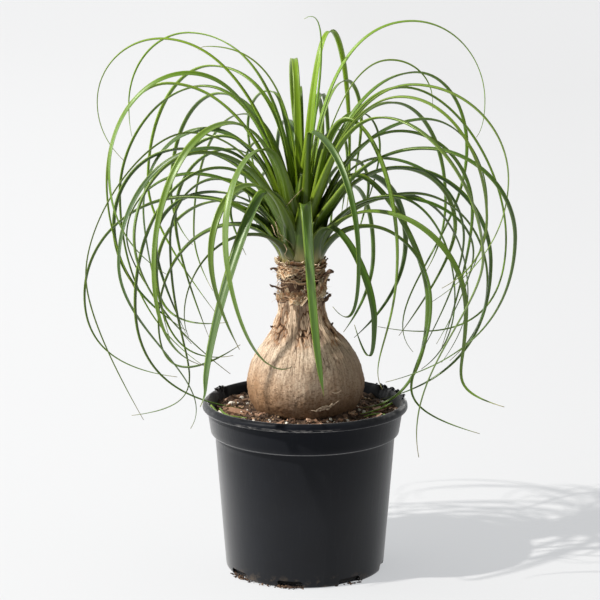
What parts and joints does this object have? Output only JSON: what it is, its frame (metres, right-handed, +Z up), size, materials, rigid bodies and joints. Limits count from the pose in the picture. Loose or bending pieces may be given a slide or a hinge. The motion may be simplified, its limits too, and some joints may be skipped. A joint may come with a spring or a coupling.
{
  "type": "potted ponytail palm",
  "caption": "Young ponytail palm in a round black plastic nursery pot: swollen woody base above the soil, short trunk, fountain of long arching strap leaves.",
  "frame": {"origin": "centre of the pot's flat underside", "axes": "+Z up through the pot, -Y towards the side the picture was taken from, +X to the right in the picture"},
  "size_m": [0.3546, 0.2793, 0.4572],
  "materials": {
    "pot_plastic": "satin black moulded plastic with pale scuffs",
    "soil": "dark bark and peat mix with white perlite",
    "bark": "dull grey-tan corky bark with fissures",
    "dry_leaf": "dull brown fibrous dry leaf bases",
    "leaf": "smooth green strap leaves with a soft sheen"
  },
  "bodies": {
    "root": {"nursery_pot": "pot_plastic", "potting_soil": "soil", "caudex_trunk": "bark", "dry_leaf_bases": "dry_leaf", "leaf_crown": "leaf"}
  },
  "joints": []
}
